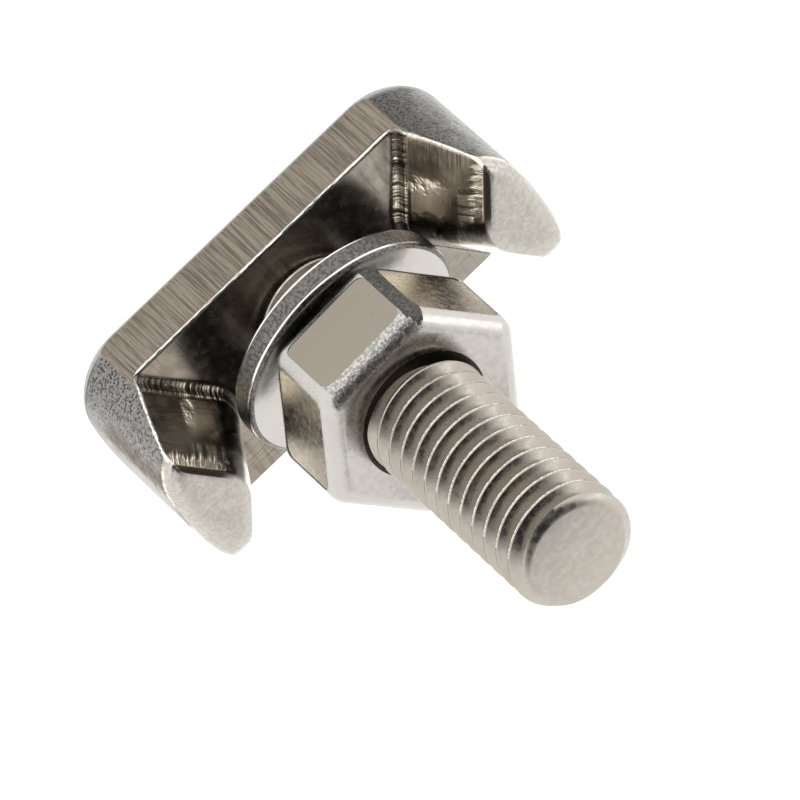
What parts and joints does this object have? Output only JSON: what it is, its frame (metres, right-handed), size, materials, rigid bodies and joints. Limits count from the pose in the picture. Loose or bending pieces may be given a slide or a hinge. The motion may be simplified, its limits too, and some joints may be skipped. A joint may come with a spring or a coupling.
{
  "type": "t slot bolt",
  "caption": "Bolt with a flat oblong head that has an upright lug at each end, on a fine threaded shank with a hexagon nut and a loose flat washer.",
  "frame": {"origin": "centre of the head's flat back, on the thread's axis", "axes": "+Z along the thread, from the head's back to the free end; X along the head's length, from lug to lug; -Y is the head's long side with the crisp edge, above which the washer is raised"},
  "size_m": [0.0288, 0.0152, 0.0343],
  "materials": {
    "t_bolt": "bright steel, polished and lightly pitted",
    "flat_washer": "bright steel, smooth faces and a rough rim",
    "hex_nut": "bright steel, satin faces"
  },
  "bodies": {
    "bolt": {"t_bolt": "t_bolt"},
    "washer": {"flat_washer": "flat_washer"},
    "nut": {"hex_nut": "hex_nut"}
  },
  "joints": [
    {"name": "washer_slide", "type": "slide", "parent": "bolt", "child": "washer", "axis": [0, 0, 1], "range_m": [0, 0.0235]},
    {"name": "nut_turn", "type": "hinge", "parent": "washer", "child": "nut", "pos_m": [0, 0, 0.014], "axis": [0, 0, 1], "range_deg": [0, 6350]}
  ],
  "couplings": [
    {"joint": "nut_turn", "follows": "washer_slide", "rad_per_m": 4713.6}
  ]
}
